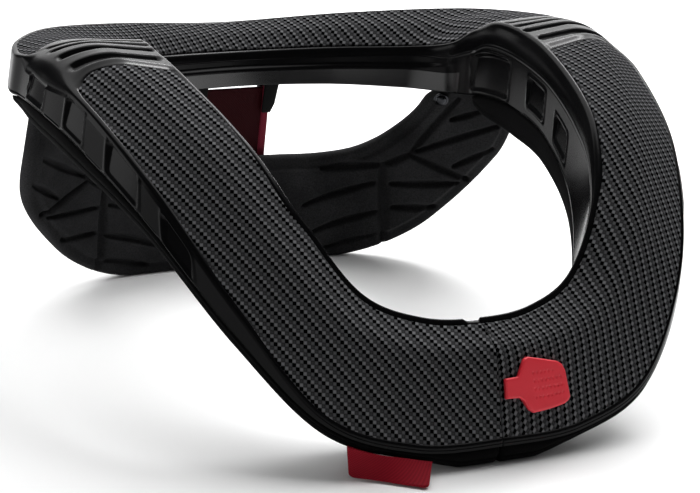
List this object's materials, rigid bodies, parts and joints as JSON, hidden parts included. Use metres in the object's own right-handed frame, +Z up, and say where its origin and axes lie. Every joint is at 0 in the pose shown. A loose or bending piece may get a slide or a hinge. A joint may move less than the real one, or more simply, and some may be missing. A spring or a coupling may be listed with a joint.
{
  "type": "protective neck collar",
  "caption": "Moulded foam neck collar for riders: a saddle-shaped ring with carbon-look inlays, pads under its arms and a grooved pad hanging at the back.",
  "frame": {"origin": "on the surface that the collar stands on, under the middle of its box", "axes": "+Z up, the front seam towards -Y, the back bar towards +Y, +X to the right as seen from the front"},
  "size_m": [0.2756, 0.2544, 0.1246],
  "materials": {
    "gloss_body": "moulded gloss skin",
    "carbon_look": "satin twill weave print",
    "pad_foam": "matte foam",
    "back_foam": "matte moulded foam",
    "strut_strap": "coated strap",
    "clip_plastic": "moulded satin",
    "rivet_metal": "dark gloss",
    "tab_rubber": "moulded satin",
    "label_cloth": "woven"
  },
  "bodies": {
    "root": {"collar_body": "gloss_body", "carbon_panel_left": "carbon_look", "carbon_panel_right": "carbon_look", "carbon_panel_back": "carbon_look", "lower_pad_left": "pad_foam", "lower_pad_right": "pad_foam", "back_pad": "back_foam", "back_strut": "strut_strap", "strut_clip_left": "clip_plastic", "strut_clip_right": "clip_plastic", "snap_rivet_left": "rivet_metal", "snap_rivet_right": "rivet_metal", "release_tab": "tab_rubber", "label_tab": "label_cloth"}
  },
  "joints": []
}
